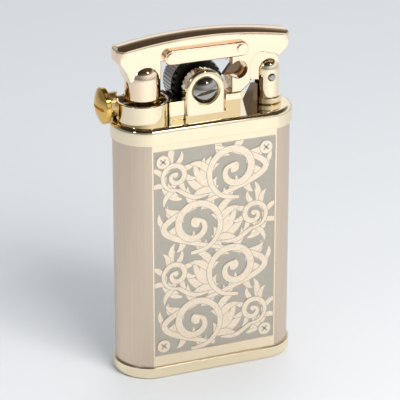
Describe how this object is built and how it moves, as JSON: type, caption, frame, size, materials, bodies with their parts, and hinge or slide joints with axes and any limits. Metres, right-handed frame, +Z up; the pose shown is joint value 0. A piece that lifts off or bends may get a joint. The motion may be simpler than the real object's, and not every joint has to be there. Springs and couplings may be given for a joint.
{
  "type": "pocket lighter",
  "caption": "Petrol pocket lighter: flat round-ended case with an etched scroll panel, and a rocker arm whose snuffer lifts off the wick as a pawl turns the flint wheel.",
  "frame": {"origin": "centre of the bottom cap's underside", "axes": "+Z up, +X towards the arm's thumb tail and away from the flint screw, the etched front faces -Y"},
  "size_m": [0.0362, 0.0132, 0.0641],
  "materials": {
    "case_brushed": "vertically brushed champagne plating",
    "polished_gold": "mirror-polished pale gold plating",
    "rose_gold": "polished rose-gold plating",
    "yellow_brass": "polished lacquered brass",
    "silver_steel": "bright machined steel",
    "black_steel": "blackened hardened steel",
    "dark_steel": "dark bronze-toned steel",
    "plain_brass": "plain turned brass",
    "cotton": "loose cotton wadding",
    "felt": "pressed felt",
    "wick_cord": "braided wick",
    "seal_rubber": "black oil-proof rubber",
    "flint_alloy": "ferrocerium"
  },
  "bodies": {
    "case": {"case_shell": "case_brushed", "top_collar": "polished_gold", "bottom_cap": "polished_gold", "tank_can": "plain_brass", "tank_lid": "plain_brass", "cotton_wadding": "cotton", "felt_pad": "felt", "filler_neck": "plain_brass", "wick": "wick_cord", "wick_tube": "plain_brass", "chimney_cup": "polished_gold", "wheel_bracket": "polished_gold", "bracket_screws": "silver_steel", "axle_screw": "silver_steel", "axle_nut": "silver_steel", "wheel_spacer": "black_steel", "flint_tube": "plain_brass", "flint": "flint_alloy", "pivot_post": "polished_gold", "post_ring": "polished_gold", "post_nut": "silver_steel", "arm_pivot_pin": "silver_steel", "arm_rest_block": "polished_gold", "snap_spring": "dark_steel"},
    "arm": {"rocker_arm": "rose_gold", "snuffer_cap": "rose_gold", "link_bar": "rose_gold", "link_rivets": "rose_gold", "pawl_spring": "silver_steel"},
    "pawl": {"pawl": "dark_steel"},
    "wheel": {"flint_wheel": "silver_steel", "ratchet_wheel": "black_steel"},
    "flint_feed": {"flint_screw": "yellow_brass", "flint_spring": "silver_steel", "flint_plunger": "plain_brass"},
    "filler": {"filler_screw": "plain_brass", "filler_gasket": "seal_rubber"}
  },
  "joints": [
    {"name": "arm_pivot", "type": "hinge", "parent": "case", "child": "arm", "pos_m": [0.0127, 0, 0.0539], "axis": [0, 1, 0], "range_deg": [0, 45], "stiffness_Nm_per_rad": 0.03, "springref_deg": -20.05},
    {"name": "wheel_spin", "type": "hinge", "parent": "case", "child": "wheel", "pos_m": [-0.0009, 0.0024, 0.0539], "axis": [0, 1, 0], "range_deg": [-81, 0]},
    {"name": "pawl_pivot", "type": "hinge", "parent": "arm", "child": "pawl", "pos_m": [0.00645, 0, 0.06035], "axis": [0, -1, 0], "range_deg": [0, 6], "stiffness_Nm_per_rad": 0.002, "springref_deg": -11.46},
    {"name": "flint_screw_out", "type": "slide", "parent": "case", "child": "flint_feed", "axis": [-1, 0, 0], "range_m": [0, 0.012]},
    {"name": "filler_screw_out", "type": "slide", "parent": "case", "child": "filler", "axis": [0, 0, -1], "range_m": [0, 0.006]}
  ],
  "couplings": [
    {"joint": "wheel_spin", "follows": "arm_pivot", "ratio": -1.8}
  ]
}
